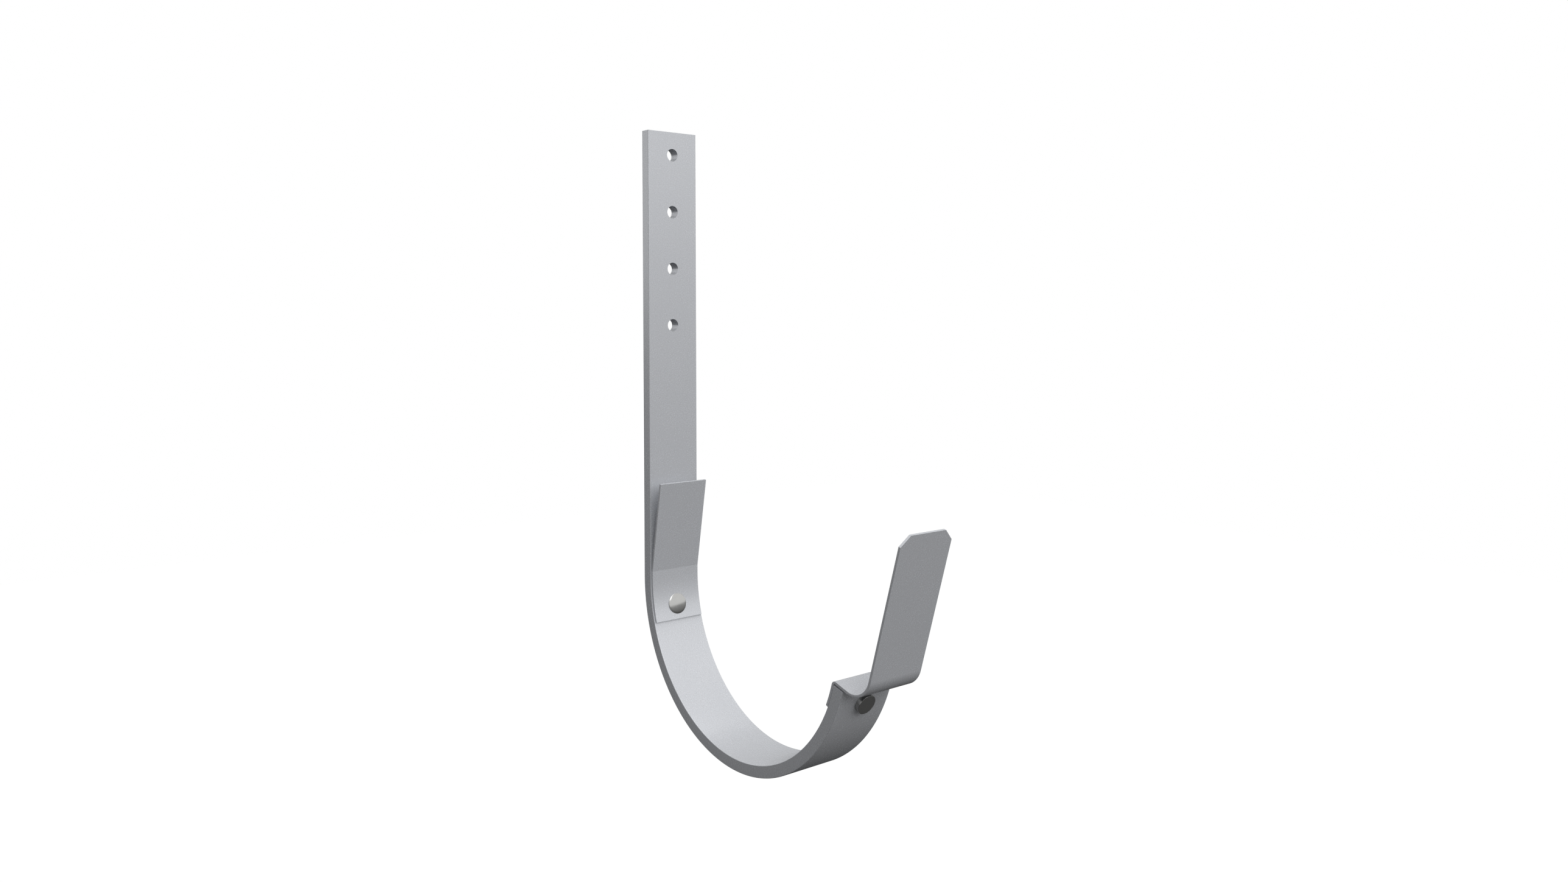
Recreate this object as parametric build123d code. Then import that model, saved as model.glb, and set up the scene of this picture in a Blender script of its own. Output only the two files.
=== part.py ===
from build123d import *
from math import degrees
import os

# Bracket for a half-round gutter, in millimetres, as it hangs on a wall.
# +X points from the wall to the front of the gutter, and +Z up.
# The origin is on the back face of the shank, at the centre of the row of screw holes.

# Flat bar
bar_width = 25
bar_thickness = 5
bar_edge_radius = 0.3
gutter_diameter = 125
shank_height = 196.5          # from the centre of the gutter to the top of the shank
hook_angle = 163.8            # degrees of arc, from the shank to the end of the bar

# Screw holes, in a row down the shank
screw_hole_diameter = 5.5
screw_hole_pitch = 25
screw_hole_count = 4
top_hole_distance = 10        # from the top of the shank to the first hole

# Both clips
sheet_thickness = 1
leg_end_distance = 6.8        # from the rivet to the end of the clip's leg

# Rear clip
rear_clip_inset = 0.5         # from the bar's edge to the clip's, on each side
rear_leg_length = 20          # along the arc, from its upper end
crease_height = 2.8           # from the upper end of the arc to the crease
tab_length = 40
tab_lean = 10                 # degrees off the shank

# Front clip, as wide as the bar
front_rivet_setback = 6.5     # from the end of the bar to the rivet
end_gap = 0.7                 # between the end of the bar and the shelf over it
shelf_length = 6.5            # flat part of the shelf
bead_radius = 9
tongue_length = 56
corner_chamfer = 4

# Rivets
rivet_diameter = 5
inner_head_diameter = 9
inner_rim_height = 0.4
inner_crown_height = 0.25     # of the head's middle over its rim
outer_head_diameter = 8
front_head_height = 2
rear_head_height = 0.45       # stays clear of the wall
head_chamfer = 0.1

gutter_radius = gutter_diameter / 2
bar_outer_radius = gutter_radius + bar_thickness
bar_middle_radius = gutter_radius + bar_thickness / 2
sheet_middle_radius = gutter_radius - sheet_thickness / 2

hole_row_length = (screw_hole_count - 1) * screw_hole_pitch
shank_top = hole_row_length / 2 + top_hole_distance
gutter_x = bar_thickness + gutter_radius
gutter_z = shank_top - shank_height
gutter_centre = (gutter_x, gutter_z)

# Angles run round the hook from the shank, which lies at 180 degrees from the gutter's centre.
shank_direction = 180
leg_end_angle = degrees(leg_end_distance / gutter_radius)
rear_leg_angle = degrees(rear_leg_length / gutter_radius)
rear_rivet_angle = rear_leg_angle - leg_end_angle
front_rivet_angle = hook_angle - degrees(front_rivet_setback / gutter_radius)
front_leg_angle = front_rivet_angle - leg_end_angle


def rivet_axis(angle, radius):
    """Plane across a rivet's axis, at a radius from the gutter's centre, facing the bar."""
    outward = Vector(-1, 0, 0).rotate(Axis.Y, -angle)
    return Plane((gutter_x, 0, gutter_z), x_dir=(0, 1, 0), z_dir=outward).offset(radius)


def rivet_hole(angle):
    """Cutter for a rivet's hole, through the bar and the clip on it."""
    return rivet_axis(angle, bar_middle_radius) * Cylinder(rivet_diameter / 2, 3 * bar_thickness)


def hook_bar():
    """One bar, straight at the shank and bent round the gutter, with its screw and rivet holes."""
    with BuildPart() as bar:
        with BuildSketch(Plane.XZ):
            with BuildLine():
                inner = CenterArc(gutter_centre, gutter_radius, shank_direction, hook_angle)
                outer = CenterArc(gutter_centre, bar_outer_radius, shank_direction, hook_angle)
                Polyline(inner @ 0, (bar_thickness, shank_top), (0, shank_top), outer @ 0)
                Line(inner @ 1, outer @ 1)
            make_face()
        extrude(amount=bar_width / 2, both=True)
        side_edges = bar.faces().filter_by(Axis.Y).edges()
        fillet([edge for edge in side_edges if edge.length > 1.01 * bar_thickness], bar_edge_radius)
        with Locations(Plane.YZ):
            with GridLocations(bar_width, screw_hole_pitch, 1, screw_hole_count):
                Cylinder(screw_hole_diameter / 2, 4 * bar_thickness, mode=Mode.SUBTRACT)
    return bar.part - rivet_hole(rear_rivet_angle) - rivet_hole(front_rivet_angle)


def rear_clip():
    """Leg on the inside of the arc, and above its crease a long tab that leans off the shank."""
    with BuildPart() as clip:
        with BuildSketch(Plane.XZ):
            with BuildLine():
                leg = CenterArc(gutter_centre, sheet_middle_radius, shank_direction, rear_leg_angle)
                back = Line(leg @ 0, leg @ 0 + Vector(0, crease_height))
                PolarLine(back @ 1, tab_length, 90 - tab_lean)
            trace(line_width=sheet_thickness)
        extrude(amount=bar_width / 2 - rear_clip_inset, both=True)
    return clip.part - rivet_hole(rear_rivet_angle)


def front_clip():
    """Leg on the inside of the arc, a fold over the end of the bar, the bead's seat and a tongue."""
    with BuildPart() as clip:
        with BuildSketch(Plane.XZ):
            with BuildLine():
                leg_start = shank_direction + front_leg_angle
                leg = CenterArc(gutter_centre, sheet_middle_radius, leg_start, hook_angle - front_leg_angle)
                fold = JernArc(leg @ 1, leg % 1, end_gap + sheet_thickness / 2, -90)
                shelf = Line(fold @ 1, fold @ 1 + shelf_length * (fold % 1))
                seat = JernArc(shelf @ 1, shelf % 1, bead_radius + sheet_thickness / 2, 90)
                Line(seat @ 1, seat @ 1 + tongue_length * (seat % 1))
            trace(line_width=sheet_thickness)
        extrude(amount=bar_width / 2, both=True)
        side_lines = clip.faces().filter_by(Axis.Y).edges().filter_by(GeomType.LINE)
        corners = side_lines.sort_by(Edge.length)[:4]
        chamfer(corners, corner_chamfer)
    return clip.part - rivet_hole(front_rivet_angle)


def rivet(angle, outer_head_height, bar, clip):
    """Closed rivet that fills its hole, with both heads seated on the curved faces they clamp."""
    inner_radius = inner_head_diameter / 2
    outer_radius = outer_head_diameter / 2
    rim = gutter_radius - sheet_thickness - inner_rim_height
    crown_top = (0, rim - inner_crown_height)
    outer_end = bar_outer_radius + outer_head_height
    with BuildPart() as turned:
        with BuildSketch(Plane.XZ):
            with BuildLine():
                crown = TangentArc(crown_top, (inner_radius - head_chamfer, rim), tangent=(1, 0))
                Polyline(
                    crown @ 1,
                    (inner_radius, rim + head_chamfer),
                    (inner_radius, bar_middle_radius),
                    (outer_radius, bar_middle_radius),
                    (outer_radius, outer_end - head_chamfer),
                    (outer_radius - head_chamfer, outer_end),
                    (0, outer_end),
                    crown_top,
                )
            make_face()
        revolve(axis=Axis.Z)
    return rivet_axis(angle, 0) * turned.part - bar - clip


bar = hook_bar()
rear = rear_clip()
front = front_clip()
pieces = {
    "hook_bar": bar,
    "rear_clip": rear,
    "front_clip": front,
    "rear_rivet": rivet(rear_rivet_angle, rear_head_height, bar, rear),
    "front_rivet": rivet(front_rivet_angle, front_head_height, bar, front),
}

os.makedirs("parts", exist_ok=True)
for name, piece in pieces.items():
    export_step(piece, f"parts/{name}.step")
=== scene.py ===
import math

import bmesh
import bpy
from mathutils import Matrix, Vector


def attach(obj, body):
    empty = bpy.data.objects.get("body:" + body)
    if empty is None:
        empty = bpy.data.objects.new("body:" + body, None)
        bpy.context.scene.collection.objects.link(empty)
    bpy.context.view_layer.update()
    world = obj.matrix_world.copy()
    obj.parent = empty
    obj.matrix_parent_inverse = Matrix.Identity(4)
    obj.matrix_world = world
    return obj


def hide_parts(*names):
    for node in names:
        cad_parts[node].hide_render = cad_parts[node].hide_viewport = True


# Bracket for a half-round gutter, as it hangs on a wall: a flat bar bent to the gutter, and two
# sheet clips riveted on its inside. +X points from the wall to the front, and +Z up, in metres.
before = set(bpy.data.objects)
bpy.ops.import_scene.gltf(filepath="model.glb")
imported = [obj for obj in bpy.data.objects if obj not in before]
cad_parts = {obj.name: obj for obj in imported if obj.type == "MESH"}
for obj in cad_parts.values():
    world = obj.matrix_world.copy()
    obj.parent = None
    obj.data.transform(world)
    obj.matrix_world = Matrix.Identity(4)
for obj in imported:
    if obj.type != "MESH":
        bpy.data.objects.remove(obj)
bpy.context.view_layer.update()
bpy.ops.object.select_all(action="DESELECT")


# Camera
# It stands to the right of the bracket, about level with the middle of the shank, and looks across
# the open side of the hook and slightly down. A small shift of the lens keeps the shank upright.
image_width = 2576
image_height = 1449
pixels_to_horizon_line = 606
pixels_of_focal_length = 1921.1
camera_sensor = 36
camera_place = (0.44075, -0.2879, -0.03198)
camera_dip = math.radians(2.741)
camera_turn = math.radians(51.132)
bpy.ops.object.camera_add(
    location=camera_place,
    rotation=(math.pi / 2 - camera_dip, 0, camera_turn),
)
camera = bpy.context.object
camera.data.sensor_width = camera_sensor
camera.data.lens = camera_sensor * pixels_of_focal_length / image_width
camera.data.shift_y = (pixels_to_horizon_line - image_height / 2) / image_width
bpy.context.scene.camera = camera


# Hook bar
# One flat steel bar, 25 by 5 mm, with softly rounded long edges. Its shank stays straight and has a
# row of four punched screw holes; below them the bar is bent round a former to the gutter's radius.
# The bar is powder coated after bending, in a satin light grey that is finely mottled.
gutter_radius = 0.0625
gutter_centre = Vector((0.0675, 0, -0.149))
bar_thickness = 0.005
bar_width = 0.025
bar_edge_radius = 0.0003
bar_rim_radius = 0.00015
shank_top = 0.0475
hook_angle = math.radians(163.8)
screw_hole_radius = 0.00275
screw_hole_count = 4
screw_hole_pitch = 0.025
top_screw_hole = 0.0375
rivet_radius = 0.0025
rear_rivet_distance = 0.0132
front_rivet_setback = 0.0065
rear_rivet_angle = rear_rivet_distance / gutter_radius
front_rivet_angle = hook_angle - front_rivet_setback / gutter_radius
up = Vector((0, 0, 1))


def outward(angle):
    """Direction away from the gutter's centre, at an angle round the hook from the shank."""
    return Vector((-math.cos(angle), 0, -math.sin(angle)))


def onward(angle):
    """Direction in which the bar runs on, at an angle round the hook from the shank."""
    return Vector((math.sin(angle), 0, -math.cos(angle)))


def start_section(name, thickness, width, back):
    """Starts a bar or sheet in edit mode: its cross section where the bend begins, from x = back on."""
    bpy.ops.mesh.primitive_plane_add(size=1)
    piece = bpy.context.object
    piece.name = name
    piece.scale = (thickness, width, 1)
    piece.location = (back + thickness / 2, 0, gutter_centre.z)
    bpy.ops.object.transform_apply()
    bpy.ops.object.mode_set(mode="EDIT")
    return piece


def choose_start(piece):
    """Chooses the end face of the piece in edit mode that lies where the bend begins."""
    bpy.ops.mesh.select_mode(type="FACE")
    bpy.ops.mesh.select_all(action="DESELECT")
    mesh = bmesh.from_edit_mesh(piece.data)
    for face in mesh.faces:
        level = abs(face.calc_center_median().z - gutter_centre.z) < 1e-6
        face.select_set(level and abs(face.normal.z) > 0.99)
    bmesh.update_edit_mesh(piece.data)


def bend_on(centre, angle, steps):
    """Goes on from the chosen end face with a bend; a positive angle is the hook's own turn."""
    bpy.ops.mesh.spin(steps=steps, angle=angle, center=centre, axis=(0, 1, 0))


def run_on(direction, length):
    """Goes on from the chosen end face with a straight run."""
    bpy.ops.mesh.extrude_region_move(TRANSFORM_OT_translate={"value": direction * length})


def cut_out(piece, tool):
    """Cuts the tool's shape out of the piece, and takes the tool away."""
    bpy.ops.object.select_all(action="DESELECT")
    bpy.context.view_layer.objects.active = piece
    piece.select_set(True)
    hole = piece.modifiers.new("hole", "BOOLEAN")
    hole.object = tool
    bpy.ops.object.modifier_apply(modifier=hole.name)
    bpy.data.objects.remove(tool)


def drill_for_rivet(piece, angle):
    """Drills a rivet's hole through the piece in edit mode, at an angle round the hook."""
    bpy.ops.mesh.select_all(action="SELECT")
    bpy.ops.mesh.normals_make_consistent(inside=False)
    bpy.ops.object.mode_set(mode="OBJECT")
    bpy.ops.mesh.primitive_cylinder_add(
        vertices=72,
        radius=rivet_radius,
        depth=4 * bar_thickness,
        location=gutter_centre + outward(angle) * gutter_radius,
        rotation=(0, math.pi / 2 - angle, 0),
    )
    cut_out(piece, bpy.context.object)
    bpy.ops.object.mode_set(mode="EDIT")


def finish_mesh(piece, edge_radius, sharper_than):
    """Softens edges sharper than an angle in degrees, and keeps the flat faces flat in the light."""
    bpy.ops.mesh.select_all(action="SELECT")
    bpy.ops.mesh.remove_doubles(threshold=1e-7)
    bpy.ops.mesh.normals_make_consistent(inside=False)
    bpy.ops.object.mode_set(mode="OBJECT")
    soft_edges = piece.modifiers.new("soft_edges", "BEVEL")
    soft_edges.width = edge_radius
    soft_edges.segments = 2
    soft_edges.limit_method = "ANGLE"
    soft_edges.angle_limit = math.radians(sharper_than)
    bpy.ops.object.modifier_apply(modifier=soft_edges.name)
    bpy.ops.object.shade_smooth()
    flat_faces = piece.modifiers.new("flat_faces", "WEIGHTED_NORMAL")
    bpy.ops.object.modifier_apply(modifier=flat_faces.name)


hook_bar = start_section("hook_bar_bent", bar_thickness, bar_width, back=0)
bpy.ops.mesh.bevel(offset=bar_edge_radius, segments=3, affect="VERTICES")
bpy.ops.mesh.select_mode(type="FACE")
bend_on(gutter_centre, hook_angle, steps=120)
choose_start(hook_bar)
run_on(up, shank_top - gutter_centre.z)
drill_for_rivet(hook_bar, rear_rivet_angle)
drill_for_rivet(hook_bar, front_rivet_angle)
bpy.ops.object.mode_set(mode="OBJECT")

bpy.ops.mesh.primitive_cylinder_add(
    vertices=64,
    radius=screw_hole_radius,
    depth=4 * bar_thickness,
    location=(0, 0, top_screw_hole),
    rotation=(0, math.pi / 2, 0),
)
punch = bpy.context.object
bpy.ops.object.transform_apply()
row = punch.modifiers.new("row", "ARRAY")
row.count = screw_hole_count
row.use_relative_offset = False
row.use_constant_offset = True
row.constant_offset_displace = (0, 0, -screw_hole_pitch)
bpy.ops.object.modifier_apply(modifier=row.name)
cut_out(hook_bar, punch)
bpy.ops.object.mode_set(mode="EDIT")
finish_mesh(hook_bar, bar_rim_radius, sharper_than=40)


def noise(tree, detail):
    """Noise on the object's own coordinates; its scale is in grains per metre."""
    place = tree.nodes.new("ShaderNodeTexCoord")
    texture = tree.nodes.new("ShaderNodeTexNoise")
    texture.inputs["Detail"].default_value = detail
    tree.links.new(place.outputs["Object"], texture.inputs["Vector"])
    return texture


def mapped(tree, value, given, wanted):
    """Value that is brought from a given range to a wanted one, and stays in it."""
    mapping = tree.nodes.new("ShaderNodeMapRange")
    mapping.inputs["From Min"].default_value = given[0]
    mapping.inputs["From Max"].default_value = given[1]
    mapping.inputs["To Min"].default_value = wanted[0]
    mapping.inputs["To Max"].default_value = wanted[1]
    tree.links.new(value, mapping.inputs["Value"])
    return mapping


def toned(tree, share, dark_tone, light_tone):
    """Colour that goes from the dark to the light tone with the share."""
    tone = tree.nodes.new("ShaderNodeMix")
    tone.data_type = "RGBA"
    tone.inputs["A"].default_value = dark_tone
    tone.inputs["B"].default_value = light_tone
    tree.links.new(share, tone.inputs["Factor"])
    return tone


def coating_group():
    """Mottled colour, gloss and surface of a powder coating, shared by the bar and the clips."""
    group = bpy.data.node_groups.new("powder_coating", "ShaderNodeTree")
    sockets = group.interface
    sockets.new_socket("Grain per Metre", in_out="INPUT", socket_type="NodeSocketFloat")
    sockets.new_socket("Color", in_out="OUTPUT", socket_type="NodeSocketColor")
    sockets.new_socket("Roughness", in_out="OUTPUT", socket_type="NodeSocketFloat")
    sockets.new_socket("Height", in_out="OUTPUT", socket_type="NodeSocketFloat")
    link = group.links.new
    given = group.nodes.new("NodeGroupInput")
    result = group.nodes.new("NodeGroupOutput")

    mottle = noise(group, detail=3)
    mottle.inputs["Roughness"].default_value = 0.6
    link(given.outputs["Grain per Metre"], mottle.inputs["Scale"])
    cloud = noise(group, detail=2)
    cloud.inputs["Scale"].default_value = 90
    blend = group.nodes.new("ShaderNodeMath")
    blend.operation = "MULTIPLY_ADD"
    blend.inputs[1].default_value = 0.3
    link(cloud.outputs["Fac"], blend.inputs[0])
    link(mottle.outputs["Fac"], blend.inputs[2])
    spread = mapped(group, blend.outputs[0], given=(0.45, 0.85), wanted=(0, 1)).outputs["Result"]

    dark_grey = (0.577, 0.591, 0.62, 1)
    light_grey = (0.595, 0.609, 0.638, 1)
    link(toned(group, spread, dark_grey, light_grey).outputs["Result"], result.inputs["Color"])
    gloss = mapped(group, spread, given=(0, 1), wanted=(0.26, 0.28))
    link(gloss.outputs["Result"], result.inputs["Roughness"])
    orange_peel = noise(group, detail=1)
    orange_peel.inputs["Scale"].default_value = 900
    link(orange_peel.outputs["Fac"], result.inputs["Height"])
    return group


powder_coating = coating_group()


def coated(name, grain):
    """Satin powder coating: the grain lies in its colour and gloss, with a faint orange peel."""
    finish = bpy.data.materials.new(name)
    finish.use_nodes = True
    nodes = finish.node_tree.nodes
    link = finish.node_tree.links.new
    shader = nodes["Principled BSDF"]
    shader.inputs["Metallic"].default_value = 0.25
    coating = nodes.new("ShaderNodeGroup")
    coating.node_tree = powder_coating
    coating.inputs["Grain per Metre"].default_value = grain
    orange_peel = nodes.new("ShaderNodeBump")
    orange_peel.inputs["Strength"].default_value = 0.05
    orange_peel.inputs["Distance"].default_value = 0.0001
    link(coating.outputs["Color"], shader.inputs["Base Color"])
    link(coating.outputs["Roughness"], shader.inputs["Roughness"])
    link(coating.outputs["Height"], orange_peel.inputs["Height"])
    link(orange_peel.outputs["Normal"], shader.inputs["Normal"])
    return finish


hook_bar.data.materials.append(coated("satin_grey_on_bar", grain=1400))
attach(hook_bar, "root")
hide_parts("hook_bar")


# Rear clip
# A strip of 1 mm sheet, a little narrower than the bar. Its leg follows the bend and is riveted to
# it. Above a crease the long tab leans off the shank, ready to be folded over the gutter's rear edge.
# It is coated like the bar.
sheet_thickness = 0.001
sheet_edge_radius = 0.0001
rear_clip_width = 0.024
leg_end_distance = 0.0068
crease_height = 0.0028
crease_inside_radius = 0.0004
tab_length = 0.040
tab_lean = math.radians(10)
rear_clip = start_section("rear_clip_folded", sheet_thickness, rear_clip_width, back=bar_thickness)
bend_on(gutter_centre, rear_rivet_angle + leg_end_distance / gutter_radius, steps=16)
choose_start(rear_clip)
run_on(up, crease_height)
crease_x = bar_thickness + sheet_thickness + crease_inside_radius
crease_centre = Vector((crease_x, 0, gutter_centre.z + crease_height))
bend_on(crease_centre, -tab_lean, steps=4)
run_on(Vector((math.sin(tab_lean), 0, math.cos(tab_lean))), tab_length)
drill_for_rivet(rear_clip, rear_rivet_angle)
finish_mesh(rear_clip, sheet_edge_radius, sharper_than=30)
sheet_coating = coated("satin_grey_on_sheet", grain=1600)
rear_clip.data.materials.append(sheet_coating)
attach(rear_clip, "root")
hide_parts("rear_clip")


# Front clip
# One strip of 1 mm sheet, as wide as the bar. Its short leg is riveted on the inside of the bend. It
# folds over the end of the bar, dips in a round seat for the gutter's bead, and stands up as a tongue
# with clipped corners, which is bent back over the bead when the gutter is in.
front_leg_angle = front_rivet_angle - leg_end_distance / gutter_radius
bar_end_gap = 0.0007
shelf_length = 0.0065
bead_radius = 0.009
tongue_length = 0.056
corner_cut = 0.004


def clip_corners(end, direction):
    """Cuts both corners of the strip's end off at 45 degrees; direction points out of the end."""
    for side in (-1, 1):
        across = Vector((0, side, 0))
        bpy.ops.mesh.select_all(action="SELECT")
        bpy.ops.mesh.bisect(
            plane_co=end + across * (bar_width / 2 - corner_cut),
            plane_no=direction + across,
            use_fill=True,
            clear_outer=True,
        )


front_clip = start_section("front_clip_folded", sheet_thickness, bar_width, back=bar_thickness)
bpy.ops.transform.rotate(value=front_leg_angle, orient_axis="Y", center_override=gutter_centre)
bpy.ops.mesh.select_mode(type="FACE")
bend_on(gutter_centre, hook_angle - front_leg_angle, steps=10)
shelf_way = outward(hook_angle)
tongue_way = onward(hook_angle)
fold_centre = gutter_centre + shelf_way * (gutter_radius + bar_end_gap)
bend_on(fold_centre, -math.pi / 2, steps=10)
run_on(shelf_way, shelf_length)
seat_depth = bar_end_gap + sheet_thickness + bead_radius
seat_centre = fold_centre + shelf_way * shelf_length + tongue_way * seat_depth
bend_on(seat_centre, math.pi / 2, steps=30)
run_on(tongue_way, tongue_length)
clip_corners(seat_centre + tongue_way * tongue_length, tongue_way)
leg_end = gutter_centre + outward(front_leg_angle) * gutter_radius
clip_corners(leg_end, -onward(front_leg_angle))
drill_for_rivet(front_clip, front_rivet_angle)
finish_mesh(front_clip, sheet_edge_radius, sharper_than=30)
front_clip.data.materials.append(sheet_coating)
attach(front_clip, "root")
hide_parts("front_clip")


# Rivets
# Two closed steel rivets hold the clips: a wide, thin, slightly crowned head on the inside of the
# hook, and a pressed head on the outside, low behind the wall face and tall under the bead's seat.
# They are set after coating and left bare; their ends are pressed smoother than their round walls.
inner_head_radius = 0.0045
inner_rim_height = 0.0003
inner_crown_height = 0.0003
crown_steps = 6
outer_head_radius = 0.004
head_edge_radius = 0.00005
depth_in_seat = 0.00015
rear_head_height = 0.00045
front_head_height = 0.002


def rivet_outline(outer_head_height):
    """Half section from the middle of the inner head to the middle of the outer one, on z."""
    edge = head_edge_radius
    edge_middle = 0.3 * edge
    flat_from = 2 * edge
    inner_seat = -depth_in_seat
    outer_seat = depth_in_seat - bar_thickness - sheet_thickness
    outer_end = -bar_thickness - sheet_thickness - outer_head_height
    outline = []
    for step in range(crown_steps + 1):
        radius = (inner_head_radius - flat_from) * step / crown_steps
        fall = inner_crown_height * (radius / inner_head_radius) ** 2
        outline.append((radius, inner_rim_height + inner_crown_height - fall))
    outline += [
        (inner_head_radius - edge, inner_rim_height),
        (inner_head_radius - edge_middle, inner_rim_height - edge_middle),
        (inner_head_radius, inner_rim_height - edge),
        (inner_head_radius, inner_seat),
        (rivet_radius, inner_seat),
        (rivet_radius, outer_seat),
        (outer_head_radius, outer_seat),
        (outer_head_radius, outer_end + edge),
        (outer_head_radius - edge_middle, outer_end + edge_middle),
        (outer_head_radius - edge, outer_end),
        (outer_head_radius - flat_from, outer_end),
        (0, outer_end),
    ]
    return outline


def turned(name, outline):
    """Round piece on the z axis: one vertex is drawn out along the outline, then spun."""
    bpy.ops.mesh.primitive_plane_add(size=0.001)
    piece = bpy.context.object
    piece.name = name
    bpy.ops.object.mode_set(mode="EDIT")
    bpy.ops.mesh.select_mode(type="VERT")
    bpy.ops.mesh.select_all(action="SELECT")
    bpy.ops.mesh.merge(type="CENTER")
    bpy.ops.transform.translate(value=(outline[0][0], 0, outline[0][1]))
    for (radius, height), (next_radius, next_height) in zip(outline, outline[1:]):
        step = (next_radius - radius, 0, next_height - height)
        bpy.ops.mesh.extrude_vertices_move(TRANSFORM_OT_translate={"value": step})
    bpy.ops.mesh.select_all(action="SELECT")
    bpy.ops.mesh.spin(steps=72, angle=2 * math.pi, center=(0, 0, 0), axis=(0, 0, 1))
    bpy.ops.mesh.select_all(action="SELECT")
    bpy.ops.mesh.remove_doubles(threshold=1e-6)
    bpy.ops.mesh.normals_make_consistent(inside=False)
    bpy.ops.object.mode_set(mode="OBJECT")
    bpy.ops.object.shade_smooth_by_angle(angle=math.radians(50))
    return piece


def bare_steel(name, roughness):
    """Bare steel, with faint clouds in its colour and gloss from handling."""
    finish = bpy.data.materials.new(name)
    finish.use_nodes = True
    tree = finish.node_tree
    shader = tree.nodes["Principled BSDF"]
    shader.inputs["Metallic"].default_value = 1
    cloud = noise(tree, detail=4)
    cloud.inputs["Scale"].default_value = 450
    dark_steel = (0.44, 0.44, 0.43, 1)
    light_steel = (0.47, 0.47, 0.46, 1)
    tone = toned(tree, cloud.outputs["Fac"], dark_steel, light_steel)
    tree.links.new(tone.outputs["Result"], shader.inputs["Base Color"])
    gloss = mapped(tree, cloud.outputs["Fac"], given=(0, 1), wanted=roughness)
    tree.links.new(gloss.outputs["Result"], shader.inputs["Roughness"])
    return finish


pressed_steel = bare_steel("rivet_steel_pressed", roughness=(0.08, 0.16))
wall_steel = bare_steel("rivet_steel_wall", roughness=(0.2, 0.28))
rivets = [
    ("rear_rivet", rear_rivet_angle, rear_head_height),
    ("front_rivet", front_rivet_angle, front_head_height),
]
for node, angle, outer_head_height in rivets:
    rivet = turned(node + "_set", rivet_outline(outer_head_height))
    rivet.rotation_euler.y = math.pi / 2 - angle
    rivet.location = gutter_centre + outward(angle) * (gutter_radius - sheet_thickness)
    bpy.ops.object.transform_apply()
    rivet.data.materials.append(pressed_steel)
    rivet.data.materials.append(wall_steel)
    for face in rivet.data.polygons:
        on_wall = abs(face.normal.dot(outward(angle))) < 0.1
        face.material_index = 1 if on_wall else 0
    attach(rivet, "root")
    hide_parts(node)


# Studio
# The bracket hangs free, far above a plain pale floor. Soft light comes from above in front, from
# overhead and, more weakly, from behind. The camera sees floor and room as plain white, but below the
# horizon they give little light, least behind the bracket, as the photograph's dark undersides show.
# The floor's own colour is dark and carries painted light: lighter in front of the bracket, darker
# behind it.
bright_side = (0.83, 0.55, 0)
floor_size = 8
floor_height = -0.9


def towards_bright_side(tree, place):
    """How far a place or a direction lies on the bright side of the room."""
    share = tree.nodes.new("ShaderNodeVectorMath")
    share.operation = "DOT_PRODUCT"
    share.inputs[1].default_value = bright_side
    tree.links.new(place, share.inputs[0])
    return share.outputs["Value"]


bpy.ops.mesh.primitive_plane_add(size=floor_size, location=(0, 0, floor_height))
floor = bpy.context.object
floor.name = "floor"
floor_paint = bpy.data.materials.new("pale_floor")
floor_paint.use_nodes = True
paint = floor_paint.node_tree
paint.nodes.remove(paint.nodes["Principled BSDF"])
floor_place = paint.nodes.new("ShaderNodeTexCoord")
metres_from_middle = towards_bright_side(paint, floor_place.outputs["Object"])
# Painted light: the floor's colour goes from nearly black behind the bracket to dark grey in front,
# standing in for the light that falls on the floor in front of it.
painted_floor_light = mapped(paint, metres_from_middle, given=(-0.75, 2.5), wanted=(0.015, 0.24))
matt = paint.nodes.new("ShaderNodeBsdfDiffuse")
seen_floor = paint.nodes.new("ShaderNodeLightPath")
white = paint.nodes.new("ShaderNodeEmission")
both = paint.nodes.new("ShaderNodeAddShader")
paint.links.new(painted_floor_light.outputs["Result"], matt.inputs["Color"])
paint.links.new(seen_floor.outputs["Is Camera Ray"], white.inputs["Strength"])
paint.links.new(matt.outputs[0], both.inputs[0])
paint.links.new(white.outputs[0], both.inputs[1])
paint.links.new(both.outputs[0], paint.nodes["Material Output"].inputs["Surface"])
floor.data.materials.append(floor_paint)

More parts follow.
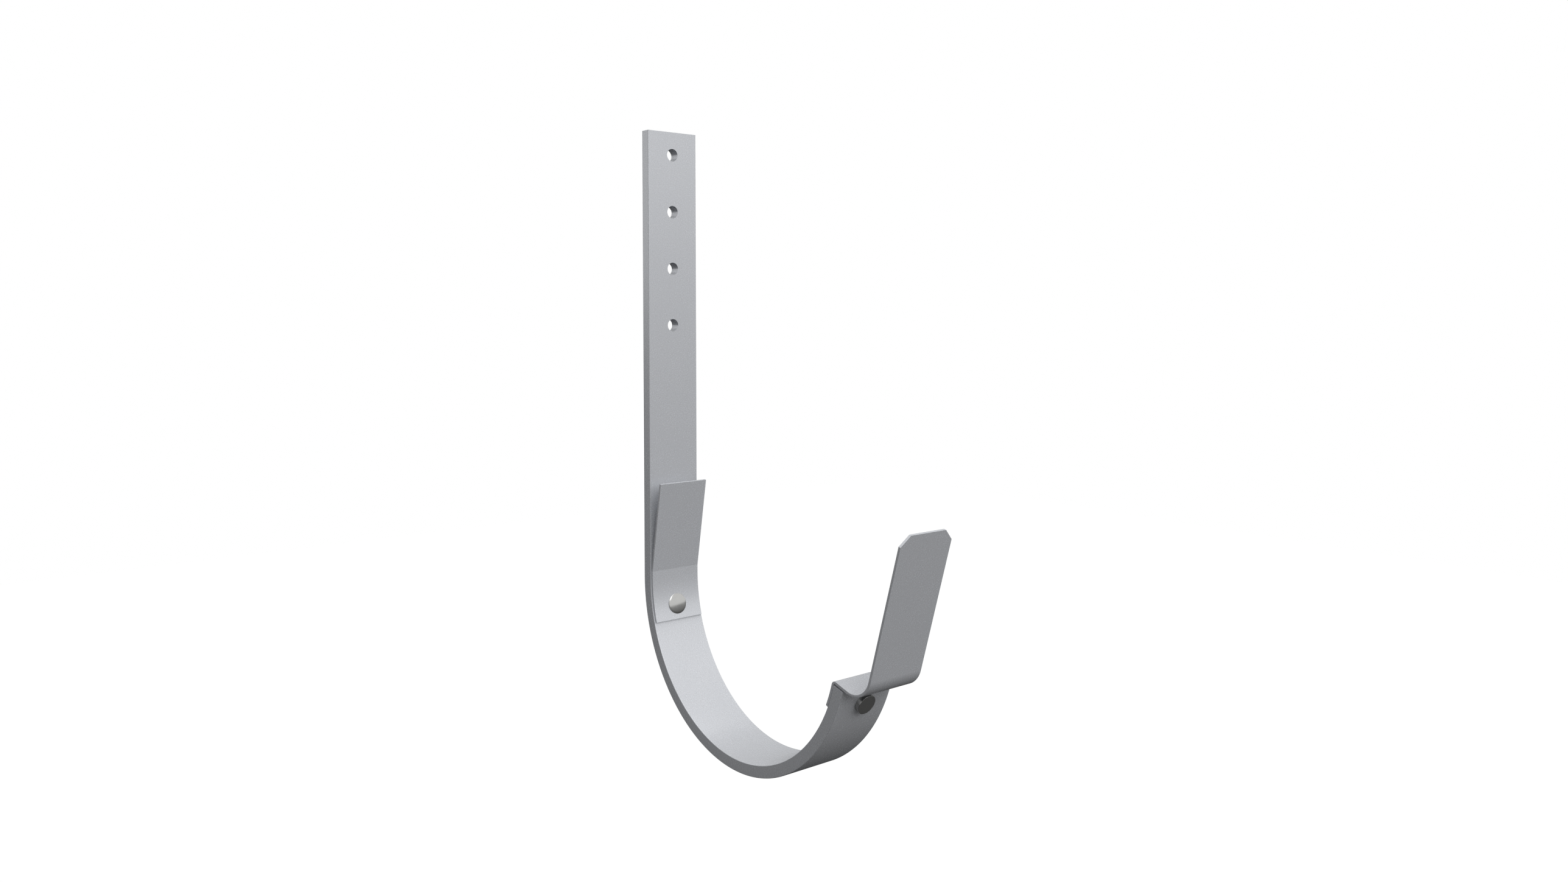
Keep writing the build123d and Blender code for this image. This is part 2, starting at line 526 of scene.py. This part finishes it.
world = bpy.context.scene.world or bpy.data.worlds.new("room")
bpy.context.scene.world = world
world.use_nodes = True
room = world.node_tree
room.nodes.clear()
direction = room.nodes.new("ShaderNodeTexCoord")
height = room.nodes.new("ShaderNodeSeparateXYZ")
room.links.new(direction.outputs["Generated"], height.inputs[0])
brightness = towards_bright_side(room, direction.outputs["Generated"])
upper_room = mapped(room, brightness, given=(0, 1), wanted=(0.52, 1.42))
lower_room = mapped(room, height.outputs["Z"], given=(-0.17, 0.08), wanted=(0.1, 0.6))
horizon = mapped(room, height.outputs["Z"], given=(0.065, 0.095), wanted=(0, 1))
horizon.interpolation_type = "SMOOTHSTEP"
room.links.new(lower_room.outputs["Result"], horizon.inputs["To Min"])
room.links.new(upper_room.outputs["Result"], horizon.inputs["To Max"])
room_light = room.nodes.new("ShaderNodeBackground")
plain_white = room.nodes.new("ShaderNodeBackground")
plain_white.inputs["Color"].default_value = (1, 1, 1, 1)
seen_room = room.nodes.new("ShaderNodeLightPath")
white_to_camera = room.nodes.new("ShaderNodeMixShader")
room_output = room.nodes.new("ShaderNodeOutputWorld")
room.links.new(horizon.outputs["Result"], room_light.inputs["Strength"])
room.links.new(seen_room.outputs["Is Camera Ray"], white_to_camera.inputs[0])
room.links.new(room_light.outputs[0], white_to_camera.inputs[1])
room.links.new(plain_white.outputs[0], white_to_camera.inputs[2])
room.links.new(white_to_camera.outputs[0], room_output.inputs["Surface"])

bracket_middle = Vector((0, 0, -0.05))


def softbox(name, place, size, power):
    """Square soft light that points at the middle of the bracket."""
    bpy.ops.object.light_add(type="AREA", location=place)
    lamp = bpy.context.object
    lamp.name = name
    lamp.rotation_euler = (bracket_middle - Vector(place)).to_track_quat("-Z", "Y").to_euler()
    lamp.data.size = size
    lamp.data.energy = power


softbox("front_softbox", (1.05, -0.05, 0.75), size=1.2, power=8.2)
softbox("overhead_softbox", (-0.15, 0.05, 1.2), size=1.3, power=8)
softbox("back_softbox", (-1.25, -0.83, 0.45), size=1, power=2.2)
bpy.context.scene.view_settings.view_transform = "Standard"
